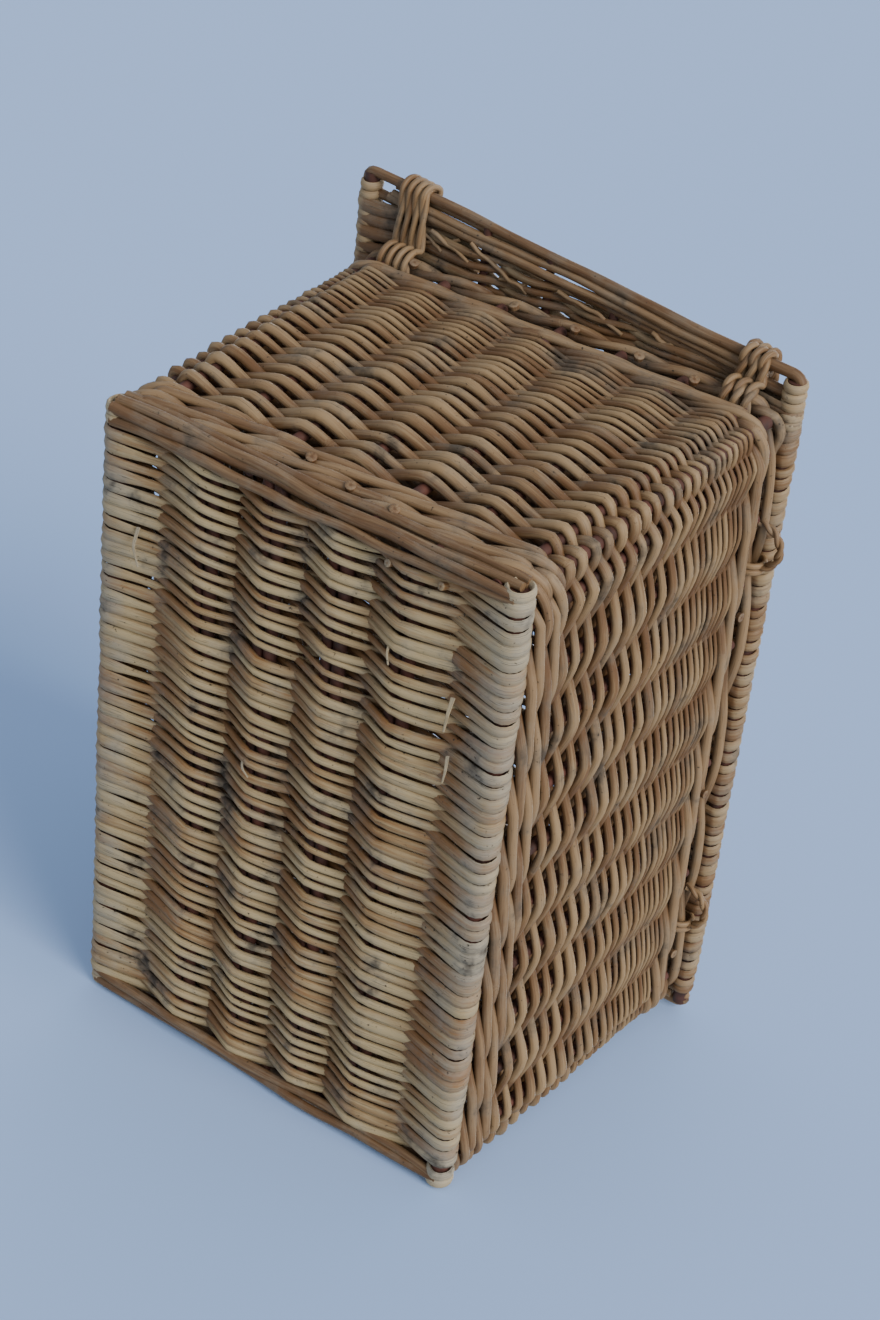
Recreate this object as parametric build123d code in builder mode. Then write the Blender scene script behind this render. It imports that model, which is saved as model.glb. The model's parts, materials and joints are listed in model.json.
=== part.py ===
"""Lidded willow hamper: a flat woven base, four flared randed walls, and a hinged woven lid.

+Z runs from the base to the lid, +Y towards the hinge end, and the origin is the middle of the
underside. Woven panels are solid slabs of the weave's outer thickness, bored for their sticks.
"""
import os
from math import cos, radians

from build123d import *

os.makedirs("parts", exist_ok=True)

# ---- driving dimensions, mm ----
BASE_WIDTH, BASE_LENGTH, BASE_THICKNESS = 295.0, 433.0, 18.0
RIM_WIDTH, RIM_LENGTH, RIM_Z = 312.0, 466.0, 262.0
CORNER_RADIUS, BASE_CORNER = 24.0, 8.0
UPSETT_TOP, SIDING_TOP, WALE_TOP = 46.0, 226.0, 245.5
SIDING_THICKNESS, WALE_THICKNESS = 14.0, 16.0
MITRE = 73.0            # the mitres between walls run along |y| - |x| = MITRE
MITRE_GAP = 0.2
OVERCUT = 1.0            # the cutting shapes run this far past the walls' top and foot

STAKE_RADIUS, CORNER_STAKE_RADIUS = 3.5, 4.5
END_STAKES, SIDE_STAKES = 7, 10
END_STAKE_SPREAD, SIDE_STAKE_SPREAD = 0.84, 0.87    # part of the wall's width that the stakes span
STAKE_FOOT_END, STAKE_FOOT_SIDE = 6.0, 15.5
STAKE_TOP = 252.0

BASE_STICK_RADIUS, BASE_OUTER_RADIUS = 4.0, 5.5
BASE_STICK_X = (-70.0, -24.0, 24.0, 70.0)
BASE_PAIR_OFFSET = 4.1   # each inner stick is a pair, side by side
BASE_OUTER_X = 137.0
BASE_STICK_END = 5.0     # sticks stop this far inside the ends

BORDER_SIZE, BORDER_CORNER = 16.0, 12.0
BORDER_ROUND = 6.0       # the border's top edge is round about the rail's axis, so the lid clears it
RAIL_RADIUS, RAIL_Y, RAIL_Z = 5.5, 227.0, 256.0
RAIL_HALF = 147.0

EYE_Y = (140.0, -140.0)
EYE_WIRE_RADIUS, EYE_HALF_WIDTH, EYE_REACH, EYE_Z = 2.5, 16.0, 15.0, 254.0
EYE_ROOT = 3.0           # how far the ends go into the border

LID_GAP = 0.3
LID_THICKNESS = 14.0
LID_WIDTH = 326.0
LID_FRONT_Y = -238.0
LID_HINGE_Y_RIGHT, LID_HINGE_Y_LEFT = 249.0, 278.0   # the hinge end runs out of square
LID_DRIFT = 6.0          # the hinge end stands this far to the left
LID_FIELD_END = 214.5    # the weave stops here, short of the hinge band
LID_COLUMN = 14.0        # width of the wrapped columns on the outer sticks
BAND_THICKNESS, BAND_START = 8.0, 219.0
FRONT_BAND_WIDTH = 30.0
LID_STICK_RADIUS, LID_OUTER_RADIUS = 2.8, 5.0
LID_STICK_X = (-72.0, -24.0, 24.0, 72.0)
LID_STICK_END = 6.0      # sticks stop this far inside the ends

BINDING_X = (124.0, -124.0)
BINDING_WIDTH, BINDING_THICKNESS = 22.0, 3.5
BINDING_SLACK = 2.0      # the wrap stands this far off the lid's hinge edge
HINGE_CLEARANCE = 0.3

LID_Z = RIM_Z + LID_GAP
LID_MID = LID_Z + LID_THICKNESS / 2
BAND_Z = LID_MID - BAND_THICKNESS / 2


# ---- shared geometry ----
def at_height(z):
    """Outside width and length of the flared walls at height z."""
    part_up = z / RIM_Z
    width = BASE_WIDTH + (RIM_WIDTH - BASE_WIDTH) * part_up
    length = BASE_LENGTH + (RIM_LENGTH - BASE_LENGTH) * part_up
    return width, length


def flared_ring(z_low, z_high, thickness):
    """The whole ring of wall between two heights."""
    with BuildPart() as ring:
        for inset, mode in ((0, Mode.ADD), (thickness, Mode.SUBTRACT)):
            sections = []
            for z in (z_low, z_high):
                width, length = at_height(z)
                with BuildSketch(Plane.XY.offset(z)) as outline:
                    RectangleRounded(width - 2 * inset, length - 2 * inset, CORNER_RADIUS - inset)
                sections.append(outline.sketch.face())
            loft(sections, ruled=True, mode=mode)
    return ring.part


def wall_share(side):
    """Outline of one wall's share of the plan, out to the mitres."""
    reach = 400.0
    start = MITRE + MITRE_GAP
    shares = {
        "hinge_end": [(0, start), (reach, reach + start), (-reach, reach + start)],
        "front_end": [(0, -start), (-reach, -reach - start), (reach, -reach - start)],
        "left": [(0, MITRE), (0, -MITRE), (reach, -reach - MITRE), (reach, reach + MITRE)],
        "right": [(0, -MITRE), (0, MITRE), (-reach, reach + MITRE), (-reach, -reach - MITRE)],
    }
    return shares[side]


def wall_of(ring, side, z_low, z_high):
    """One wall cut from a flared ring."""
    with BuildPart() as wall:
        add(ring)
        with BuildSketch(Plane.XY.offset(z_low - OVERCUT)):
            Polygon(*wall_share(side), align=None)
        extrude(amount=z_high - z_low + 2 * OVERCUT, mode=Mode.INTERSECT)
    return wall.part


def rod(start, end, radius):
    """A straight round stick between two points, in the part being built."""
    run = Vector(*end) - Vector(*start)
    with BuildSketch(Plane(origin=start, z_dir=run)) as section:
        Circle(radius)
    extrude(section.sketch, amount=run.length)


def spread(count, share):
    """Evenly spaced places between -share and +share."""
    return [share * (2 * i / (count - 1) - 1) for i in range(count)]


def wall_point(side, along, z):
    """A point in the middle of a wall's thickness; along runs from -1 to 1 across the wall."""
    width, length = at_height(z)
    half_w, half_l = width / 2, length / 2
    mid = SIDING_THICKNESS / 2
    points = {
        "hinge_end": (along * half_w, half_l - mid, z),
        "front_end": (along * half_w, mid - half_l, z),
        "left": (half_w - mid, along * half_l, z),
        "right": (mid - half_w, along * half_l, z),
    }
    return points[side]


ENDS = ("hinge_end", "front_end")
SIDES = ("left", "right")

# ---- base ----
base_half = BASE_LENGTH / 2 - BASE_STICK_END

with BuildPart() as base_outer_sticks:
    for x in (-BASE_OUTER_X, BASE_OUTER_X):
        rod((x, -base_half, BASE_THICKNESS / 2), (x, base_half, BASE_THICKNESS / 2), BASE_OUTER_RADIUS)
base_outer_sticks.part.label = "base_outer_sticks"

with BuildPart() as base_inner_sticks:
    for x in BASE_STICK_X:
        for offset_x in (-BASE_PAIR_OFFSET, BASE_PAIR_OFFSET):
            place = x + offset_x
            rod((place, -base_half, BASE_THICKNESS / 2), (place, base_half, BASE_THICKNESS / 2),
                BASE_STICK_RADIUS)
base_inner_sticks.part.label = "base_inner_sticks"

# ---- uprights ----
stakes = {}
for side in ENDS + SIDES:
    is_end = side in ENDS
    count = END_STAKES if is_end else SIDE_STAKES
    share = END_STAKE_SPREAD if is_end else SIDE_STAKE_SPREAD
    foot = STAKE_FOOT_END if is_end else STAKE_FOOT_SIDE
    with BuildPart() as wall_stakes:
        for along in spread(count, share):
            under_binding = side == "hinge_end" and abs(along) == share
            top = WALE_TOP if under_binding else STAKE_TOP
            rod(wall_point(side, along, foot), wall_point(side, along, top), STAKE_RADIUS)
    wall_stakes.part.label = "stakes_" + side
    stakes[side] = wall_stakes

corner_inset = CORNER_RADIUS - (CORNER_RADIUS - SIDING_THICKNESS / 2) * cos(radians(45))
with BuildPart() as corner_stakes:
    for side_x in (-1, 1):
        for side_y in (-1, 1):
            ends = []
            for z in (BASE_THICKNESS, STAKE_TOP):
                width, length = at_height(z)
                ends.append((side_x * (width / 2 - corner_inset), side_y * (length / 2 - corner_inset), z))
            rod(ends[0], ends[1], CORNER_STAKE_RADIUS)
corner_stakes.part.label = "corner_stakes"


def bore_for_stakes():
    """Take the uprights out of the weave being built."""
    for side in ENDS + SIDES:
        add(stakes[side].part, mode=Mode.SUBTRACT)
    add(corner_stakes.part, mode=Mode.SUBTRACT)


with BuildPart() as base_weave:
    with BuildSketch():
        RectangleRounded(BASE_WIDTH, BASE_LENGTH, BASE_CORNER)
    extrude(amount=BASE_THICKNESS)
    add(base_outer_sticks.part, mode=Mode.SUBTRACT)
    add(base_inner_sticks.part, mode=Mode.SUBTRACT)
    bore_for_stakes()
base_weave.part.label = "base_weave"

# ---- walls ----
upsett_ring = flared_ring(BASE_THICKNESS, UPSETT_TOP, WALE_THICKNESS)
with BuildPart() as upsett_wale:
    for side in ENDS + SIDES:
        add(wall_of(upsett_ring, side, BASE_THICKNESS, UPSETT_TOP))
    bore_for_stakes()
upsett_wale.part.label = "upsett_wale"

siding_ring = flared_ring(UPSETT_TOP, SIDING_TOP, SIDING_THICKNESS)
sidings = {}
for side in ENDS + SIDES:
    with BuildPart() as siding:
        add(wall_of(siding_ring, side, UPSETT_TOP, SIDING_TOP))
        bore_for_stakes()
    siding.part.label = "siding_" + side
    sidings[side] = siding

wale_ring = flared_ring(SIDING_TOP, WALE_TOP, WALE_THICKNESS)
with BuildPart() as top_wale:
    for side in ENDS + SIDES:
        add(wall_of(wale_ring, side, SIDING_TOP, WALE_TOP))
    bore_for_stakes()
top_wale.part.label = "top_wale"

# ---- rim ----
with BuildPart() as hinge_rail:
    rod((-RAIL_HALF, RAIL_Y, RAIL_Z), (RAIL_HALF, RAIL_Y, RAIL_Z), RAIL_RADIUS)
    bore_for_stakes()
hinge_rail.part.label = "hinge_rail"

rim_eyes = {}
for name, eye_y in zip(("rear", "front"), EYE_Y):
    rim_x = -(RIM_WIDTH / 2 - EYE_ROOT)
    with BuildPart() as rim_eye:
        with BuildLine() as bow:
            ThreePointArc((rim_x, eye_y - EYE_HALF_WIDTH, EYE_Z), (rim_x - EYE_REACH, eye_y, EYE_Z),
                          (rim_x, eye_y + EYE_HALF_WIDTH, EYE_Z))
        with BuildSketch(Plane(origin=bow.line @ 0, z_dir=bow.line % 0)):
            Circle(EYE_WIRE_RADIUS)
        sweep(path=bow.line)
    rim_eye.part.label = "rim_eye_" + name
    rim_eyes[name] = rim_eye

borders = {}
border_height = RIM_Z - WALE_TOP
for side, side_x in (("left", 1), ("right", -1)):
    with BuildPart() as border:
        middle_x = side_x * (RIM_WIDTH / 2 - BORDER_SIZE / 2)
        with BuildSketch(Plane.XY.offset(WALE_TOP)):
            with Locations((middle_x, 0)):
                Rectangle(BORDER_SIZE, RIM_LENGTH)
        extrude(amount=border_height)
        outer_side = border.faces().filter_by(Axis.X).sort_by(Axis.X)[0 if side_x < 0 else -1]
        fillet(outer_side.edges().filter_by(Axis.Z), BORDER_CORNER)
        inner_side = border.faces().filter_by(Axis.X).sort_by(Axis.X)[-1 if side_x < 0 else 0]
        top_edges = border.faces().sort_by(Axis.Z)[-1].edges()
        fillet([edge for edge in top_edges if edge not in inner_side.edges()], BORDER_ROUND)
        add(hinge_rail.part, mode=Mode.SUBTRACT)
        for rim_eye in rim_eyes.values():
            add(rim_eye.part, mode=Mode.SUBTRACT)
        bore_for_stakes()
    border.part.label = "border_" + side
    borders[side] = border

front_length = RIM_WIDTH - 2 * BORDER_SIZE
with BuildPart() as border_front_end:
    with BuildSketch(Plane.XY.offset(WALE_TOP)):
        with Locations((0, -(RIM_LENGTH / 2 - BORDER_SIZE / 2))):
            Rectangle(front_length, BORDER_SIZE)
    extrude(amount=border_height)
    fillet(border_front_end.edges().filter_by(Axis.X).group_by(Axis.Z)[-1].sort_by(Axis.Y)[0], BORDER_ROUND)
    bore_for_stakes()
border_front_end.part.label = "border_front_end"


# ---- lid ----
def lid_edge_x(side_x, y):
    """The lid's long edge: it drifts sideways towards the hinge end."""
    part_along = (y - LID_FRONT_Y) / (LID_HINGE_Y_RIGHT - LID_FRONT_Y)
    return side_x * LID_WIDTH / 2 + LID_DRIFT * part_along


def lid_hinge_y(x):
    """The lid's hinge edge, which runs out of square."""
    part_across = (x + LID_WIDTH / 2) / LID_WIDTH
    return LID_HINGE_Y_RIGHT + (LID_HINGE_Y_LEFT - LID_HINGE_Y_RIGHT) * part_across


def lid_inner_x(side_x, y):
    """The inner edge of the wrapped column along the lid's long edge."""
    return lid_edge_x(side_x, y) - side_x * LID_COLUMN


def lid_strip(y_low, y_high=None):
    """Corners of the lid between its columns, up to y_high or to the hinge edge."""
    corners = [(lid_inner_x(side_x, y_low), y_low) for side_x in (-1, 1)]
    for side_x in (1, -1):
        y = lid_hinge_y(side_x * LID_WIDTH / 2) if y_high is None else y_high
        corners.append((lid_inner_x(side_x, y), y))
    return corners


with BuildPart() as lid_outer_sticks:
    for side_x in (-1, 1):
        ends = []
        for y in (LID_FRONT_Y + LID_STICK_END, lid_hinge_y(side_x * LID_WIDTH / 2) - LID_STICK_END):
            ends.append((lid_edge_x(side_x, y) - side_x * LID_COLUMN / 2, y, LID_MID))
        rod(ends[0], ends[1], LID_OUTER_RADIUS)
lid_outer_sticks.part.label = "lid_outer_sticks"

with BuildPart() as lid_inner_sticks:
    for x in LID_STICK_X:
        rod((x, LID_FRONT_Y + LID_STICK_END, LID_MID), (x, lid_hinge_y(x) - LID_STICK_END, LID_MID), LID_STICK_RADIUS)
lid_inner_sticks.part.label = "lid_inner_sticks"

with BuildPart() as lid_weave:
    with BuildSketch(Plane.XY.offset(LID_Z)):
        with BuildLine():
            Polyline(*lid_strip(LID_FRONT_Y + FRONT_BAND_WIDTH, LID_FIELD_END), close=True)
        make_face()
        for side_x in (-1, 1):
            hinge_y = lid_hinge_y(side_x * LID_WIDTH / 2)
            outline = [(lid_edge_x(side_x, LID_FRONT_Y), LID_FRONT_Y), (lid_edge_x(side_x, hinge_y), hinge_y),
                       (lid_inner_x(side_x, hinge_y), hinge_y), (lid_inner_x(side_x, LID_FRONT_Y), LID_FRONT_Y)]
            with BuildLine():
                Polyline(*outline, close=True)
            make_face()
    extrude(amount=LID_THICKNESS)
    add(lid_outer_sticks.part, mode=Mode.SUBTRACT)
    add(lid_inner_sticks.part, mode=Mode.SUBTRACT)
lid_weave.part.label = "lid_weave"

# ---- lid end bands ----
with BuildPart() as lid_band_hinge_end:
    with BuildSketch(Plane.XY.offset(BAND_Z)):
        with BuildLine():
            Polyline(*lid_strip(BAND_START), close=True)
        make_face()
    extrude(amount=BAND_THICKNESS)
    add(lid_inner_sticks.part, mode=Mode.SUBTRACT)
lid_band_hinge_end.part.label = "lid_band_hinge_end"

with BuildPart() as lid_band_front_end:
    with BuildSketch(Plane.XY.offset(BAND_Z)):
        with BuildLine():
            Polyline(*lid_strip(LID_FRONT_Y, LID_FRONT_Y + FRONT_BAND_WIDTH), close=True)
        make_face()
    extrude(amount=BAND_THICKNESS)
    add(lid_inner_sticks.part, mode=Mode.SUBTRACT)
lid_band_front_end.part.label = "lid_band_front_end"

# ---- hinge bindings: a wrap round the band joined to a ring round the rail ----
bindings = {}
for name, binding_x in zip(("left", "right"), BINDING_X):
    outer_y = lid_hinge_y(binding_x) + BINDING_THICKNESS + BINDING_SLACK
    inner_y = BAND_START - BINDING_THICKNESS
    low_z, high_z = BAND_Z - BINDING_THICKNESS, BAND_Z + BAND_THICKNESS + BINDING_THICKNESS
    with BuildPart() as binding:
        with BuildSketch(Plane.YZ.offset(binding_x - BINDING_WIDTH / 2)):
            with Locations(((inner_y + outer_y) / 2, (low_z + high_z) / 2)):
                RectangleRounded(outer_y - inner_y, high_z - low_z, BINDING_THICKNESS)
            with Locations((RAIL_Y, RAIL_Z)):
                Circle(RAIL_RADIUS + HINGE_CLEARANCE + BINDING_THICKNESS)
                Circle(RAIL_RADIUS + HINGE_CLEARANCE, mode=Mode.SUBTRACT)
        extrude(amount=BINDING_WIDTH)
        add(lid_band_hinge_end.part, mode=Mode.SUBTRACT)
    binding.part.label = "hinge_binding_" + name
    bindings[name] = binding

# ---- write the pieces ----
pieces = [base_outer_sticks, base_inner_sticks, base_weave, corner_stakes, upsett_wale, top_wale,
          hinge_rail, border_front_end, lid_outer_sticks, lid_inner_sticks, lid_weave,
          lid_band_hinge_end, lid_band_front_end]
for group in (stakes, sidings, rim_eyes, borders, bindings):
    pieces.extend(group.values())
for piece in pieces:
    export_step(piece.part, f"parts/{piece.part.label}.step")
    print(piece.part.label, len(piece.part.solids()), round(piece.part.volume / 1000, 1), "cm3")
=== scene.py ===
# %% [markdown]
# # A lidded willow hamper, rod by rod
# The hamper is a flat woven base on sticks, four flared walls randed over upright stakes, a roped
# border, and a flat lid bound to one short end. A woven wall could be a slab with a bump pattern,
# but then no rod would turn round a stake and no gap would show the stake behind it. So every
# rod here is a tube that follows its own path in front of one stake and behind the next.
# The fixed frame gives each CAD piece's box, and the places of the walls and the lid come from those.

# %% Load the fixed frame
import json

import bpy
import numpy as np
from mathutils import Matrix, Vector


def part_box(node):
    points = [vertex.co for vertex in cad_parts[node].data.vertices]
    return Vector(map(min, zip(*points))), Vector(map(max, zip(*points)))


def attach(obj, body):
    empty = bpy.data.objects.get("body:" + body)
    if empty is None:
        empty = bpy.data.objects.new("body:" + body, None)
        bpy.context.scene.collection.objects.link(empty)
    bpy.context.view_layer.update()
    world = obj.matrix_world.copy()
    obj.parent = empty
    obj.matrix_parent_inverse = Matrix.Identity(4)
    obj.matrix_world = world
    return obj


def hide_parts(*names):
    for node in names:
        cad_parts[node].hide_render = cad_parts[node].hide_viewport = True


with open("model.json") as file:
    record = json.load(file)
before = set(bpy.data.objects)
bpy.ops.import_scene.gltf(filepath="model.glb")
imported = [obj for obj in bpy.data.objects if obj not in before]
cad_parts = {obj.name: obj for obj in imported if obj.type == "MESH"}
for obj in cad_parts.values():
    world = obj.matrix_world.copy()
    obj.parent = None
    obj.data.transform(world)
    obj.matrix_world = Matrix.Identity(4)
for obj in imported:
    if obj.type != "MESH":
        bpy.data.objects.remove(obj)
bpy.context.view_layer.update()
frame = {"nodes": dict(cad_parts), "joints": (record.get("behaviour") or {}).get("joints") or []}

# %% [markdown]
# ## Camera
# The hamper is seen from below its base, standing on its front end, so the camera hangs under the
# base and looks up with +Y at the top of the picture. A long lens keeps the edges nearly parallel.

# %% Camera
LENS_MM, SENSOR_MM = 65.45, 36.0
CAMERA_PLACE = Vector((-0.6629, 0.8591, -0.8962))
CAMERA_AIM = Vector((0.4432, -0.5539, 0.7048))
CAMERA_UP = Vector((0.3928, 0.8267, 0.4028))

camera_data = bpy.data.cameras.new("camera")
camera_data.sensor_fit = "VERTICAL"
camera_data.sensor_height = SENSOR_MM
camera_data.lens = LENS_MM
camera = bpy.data.objects.new("camera", camera_data)
bpy.context.scene.collection.objects.link(camera)
side_axis = CAMERA_AIM.cross(CAMERA_UP).normalized()
up_axis = side_axis.cross(CAMERA_AIM).normalized()
turn = Matrix((side_axis, up_axis, -CAMERA_AIM.normalized())).transposed()
camera.matrix_world = Matrix.Translation(CAMERA_PLACE) @ turn.to_4x4()
bpy.context.scene.camera = camera
print("camera at", [round(value, 3) for value in CAMERA_PLACE])

# %% [markdown]
# ## Sizes taken from the frame
# The base slab and the border boxes give the outside of the walls at the foot and at the rim. A
# wall is straight between the two, so any height is a straight mix of them. All lengths are in
# metres from here on.

# %% Sizes
MM = 0.001
_, base_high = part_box("base_weave")
_, left_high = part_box("border_left")
right_low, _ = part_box("border_right")
front_low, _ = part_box("border_front_end")
FOOT_HALF = np.array([base_high.x, base_high.y])
RIM_HALF = np.array([left_high.x, -front_low.y])
RIM_Z = left_high.z
BASE_TOP = base_high.z
SIDING_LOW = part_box("siding_left")[0].z
SIDING_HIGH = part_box("siding_left")[1].z
WALE_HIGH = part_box("top_wale")[1].z
WALL_HALF = 7 * MM            # from the outside of a wall to the middle of its thickness
CORNER = 17 * MM              # corner radius along the middle of the thickness
hinge = frame["joints"][0]
RAIL = Vector(hinge["pos_m"])
lid_low, lid_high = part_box("lid_weave")
LID_MID = (lid_low.z + lid_high.z) / 2
print("rim half sizes", RIM_HALF.round(4), "rail at", [round(value, 4) for value in RAIL])


# %% [markdown]
# ## Tubes
# A rod is an oval ring carried along a path. The oval needs a steady direction to stand on: for
# willow laid in rows that is the direction from one row to the next, which a rod never follows.
# All rods of a piece are worked out at once, as arrays of rod by step by point on the ring.

# %% Mesh from arrays
def put_mesh(name, points, corners, sizes, uv, attributes, material, body):
    """Object from arrays: points, the corner list of all faces, and how many corners each face has."""
    mesh = bpy.data.meshes.new(name)
    mesh.vertices.add(len(points))
    mesh.vertices.foreach_set("co", points.astype(np.float32).ravel())
    mesh.loops.add(len(corners))
    mesh.loops.foreach_set("vertex_index", corners.astype(np.int32))
    mesh.polygons.add(len(sizes))
    starts = np.concatenate([[0], np.cumsum(sizes)[:-1]])
    mesh.polygons.foreach_set("loop_start", starts.astype(np.int32))
    mesh.polygons.foreach_set("use_smooth", np.ones(len(sizes), bool))
    layer = mesh.uv_layers.new(name="rod")
    layer.data.foreach_set("uv", uv.astype(np.float32).ravel())
    for label, values in attributes.items():
        column = mesh.attributes.new(label, "FLOAT", "POINT")
        column.data.foreach_set("value", values.astype(np.float32).ravel())
    mesh.update(calc_edges=True)
    mesh.validate()
    mesh.set_sharp_from_angle(angle=np.radians(65))
    mesh.materials.append(material)
    piece = bpy.data.objects.new(name, mesh)
    bpy.context.scene.collection.objects.link(piece)
    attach(piece, body)
    return piece


def unit(vectors):
    """Each vector divided by its own length."""
    return vectors / np.maximum(np.linalg.norm(vectors, axis=-1, keepdims=True), 1e-12)


# %% Tubes along paths
def tubes(centre, up, half_up, half_out, closed=False, tone=0.5, straw_and_shade=1.0, wear=0.0, sides=8):
    """Oval tubes round many paths at once.

    centre is rods x steps x 3. At each step the ring is centre + U a sin(t) + V b cos(t), where U
    is the row direction made square to the path and V is the path's direction crossed with U.
    """
    centre = np.asarray(centre, float)
    rods, steps = centre.shape[:2]
    if closed:
        along = np.roll(centre, -1, axis=1) - np.roll(centre, 1, axis=1)
    else:
        along = np.gradient(centre, axis=1)
    along = unit(along)
    up = np.broadcast_to(np.asarray(up, float), centre.shape)
    up = unit(up - along * np.sum(up * along, axis=-1, keepdims=True))
    out = np.cross(along, up)
    spread = [np.broadcast_to(np.asarray(value, float), (rods, steps)) for value in
              (half_up, half_out, tone, straw_and_shade, wear)]
    half_up, half_out, tone, straw_and_shade, wear = spread
    turn = 2 * np.pi * np.arange(sides) / sides
    rise = (half_up[..., None] * np.sin(turn))[..., None] * up[:, :, None, :]
    reach = (half_out[..., None] * np.cos(turn))[..., None] * out[:, :, None, :]
    points = (centre[:, :, None, :] + rise + reach).reshape(-1, 3)

    spans = steps if closed else steps - 1
    rod, step, side = np.meshgrid(np.arange(rods), np.arange(spans), np.arange(sides), indexing="ij")
    after, beside = (step + 1) % steps, (side + 1) % sides
    quads = np.stack([(rod * steps + step) * sides + side, (rod * steps + after) * sides + side,
                      (rod * steps + after) * sides + beside, (rod * steps + step) * sides + beside], -1)
    gaps = np.linalg.norm(np.diff(centre, axis=1, append=centre[:, :1]), axis=-1)
    length = np.concatenate([np.zeros((rods, 1)), np.cumsum(gaps, axis=1)], axis=1)
    near, far = length[rod, step], length[rod, step + 1]
    uv = np.stack([np.stack([side / sides, near], -1), np.stack([side / sides, far], -1),
                   np.stack([(side + 1) / sides, far], -1), np.stack([(side + 1) / sides, near], -1)], -2)
    corners, uvs = [quads.reshape(-1)], [uv.reshape(-1, 2)]
    sizes = [np.full(quads.size // 4, 4)]
    if not closed:
        ring = np.arange(sides)
        for step_index, order in ((0, ring), (steps - 1, ring[::-1])):
            caps = (np.arange(rods)[:, None] * steps + step_index) * sides + order
            corners.append(caps.reshape(-1))
            cap_v = np.repeat(length[:, step_index], sides)
            uvs.append(np.stack([np.tile(order / sides, rods), cap_v], -1))
            sizes.append(np.full(rods, sides))
    attributes = {label: np.repeat(values.reshape(-1), sides) for label, values in
                  (("tone", tone), ("straw_and_shade", straw_and_shade), ("wear", wear))}
    return {"points": points, "corners": np.concatenate(corners), "sizes": np.concatenate(sizes),
            "uv": np.concatenate(uvs), "attributes": attributes}


def joined(parts):
    """Several sets of tubes as one: the corner numbers of each set move past the points before it."""
    starts = np.cumsum([0] + [len(part["points"]) for part in parts[:-1]])
    labels = parts[0]["attributes"]
    return {"points": np.concatenate([part["points"] for part in parts]),
            "corners": np.concatenate([part["corners"] + start for part, start in zip(parts, starts)]),
            "sizes": np.concatenate([part["sizes"] for part in parts]),
            "uv": np.concatenate([part["uv"] for part in parts]),
            "attributes": {label: np.concatenate([part["attributes"][label] for part in parts])
                           for label in labels}}


def finished(name, parts, material, body, replaces):
    """A finished piece: its mesh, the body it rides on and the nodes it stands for."""
    shape = joined(parts)
    piece = put_mesh(name, shape["points"], shape["corners"], shape["sizes"], shape["uv"],
                     shape["attributes"], material, body)
    if replaces:
        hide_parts(*replaces)
    triangles = int(np.sum(shape["sizes"] - 2))
    print(name, "triangles", triangles)
    return piece


# %% [markdown]
# ## Hand-made unevenness
# Real rows wander together: a bulge pushes its neighbours along. One smooth field of a few sine
# waves moves all rows near a place by the same amount, so rows stay side by side. Thickness and
# colour change from rod to rod instead, drawn once from a seeded generator.

# %% Wander and random draws
def wander(a, b, size, seed):
    """A smooth field: the mean of sines whose directions, lengths and starts are drawn from the seed."""
    draw = np.random.default_rng(seed)
    total = np.zeros(np.broadcast(a, b).shape)
    for wave in (18.0, 31.0, 52.0, 87.0, 140.0):
        angle, start = draw.uniform(0, 2 * np.pi, 2)
        total = total + np.sin(wave * (a * np.cos(angle) + b * np.sin(angle)) + start) * (30 / (wave + 12))
    return size * total


def per_rod(count, low, high, seed):
    """One value for each rod, between low and high."""
    return np.random.default_rng(seed).uniform(low, high, count)


def weave(position, lean, bend=4.0):
    """In front (+1) at even positions and behind (-1) at odd ones.

    A triangle wave is stretched by lean and then bent over smoothly at +1 and -1, so the rod runs
    straight between two sticks and bends short over each of them. A higher bend is a sharper knee.
    """
    steep = lean * (2 * np.abs(np.mod(position, 2) - 1) - 1)
    top = lean / (1 + lean ** bend) ** (1 / bend)
    return steep / (1 + np.abs(steep) ** bend) ** (1 / bend) / top
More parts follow.
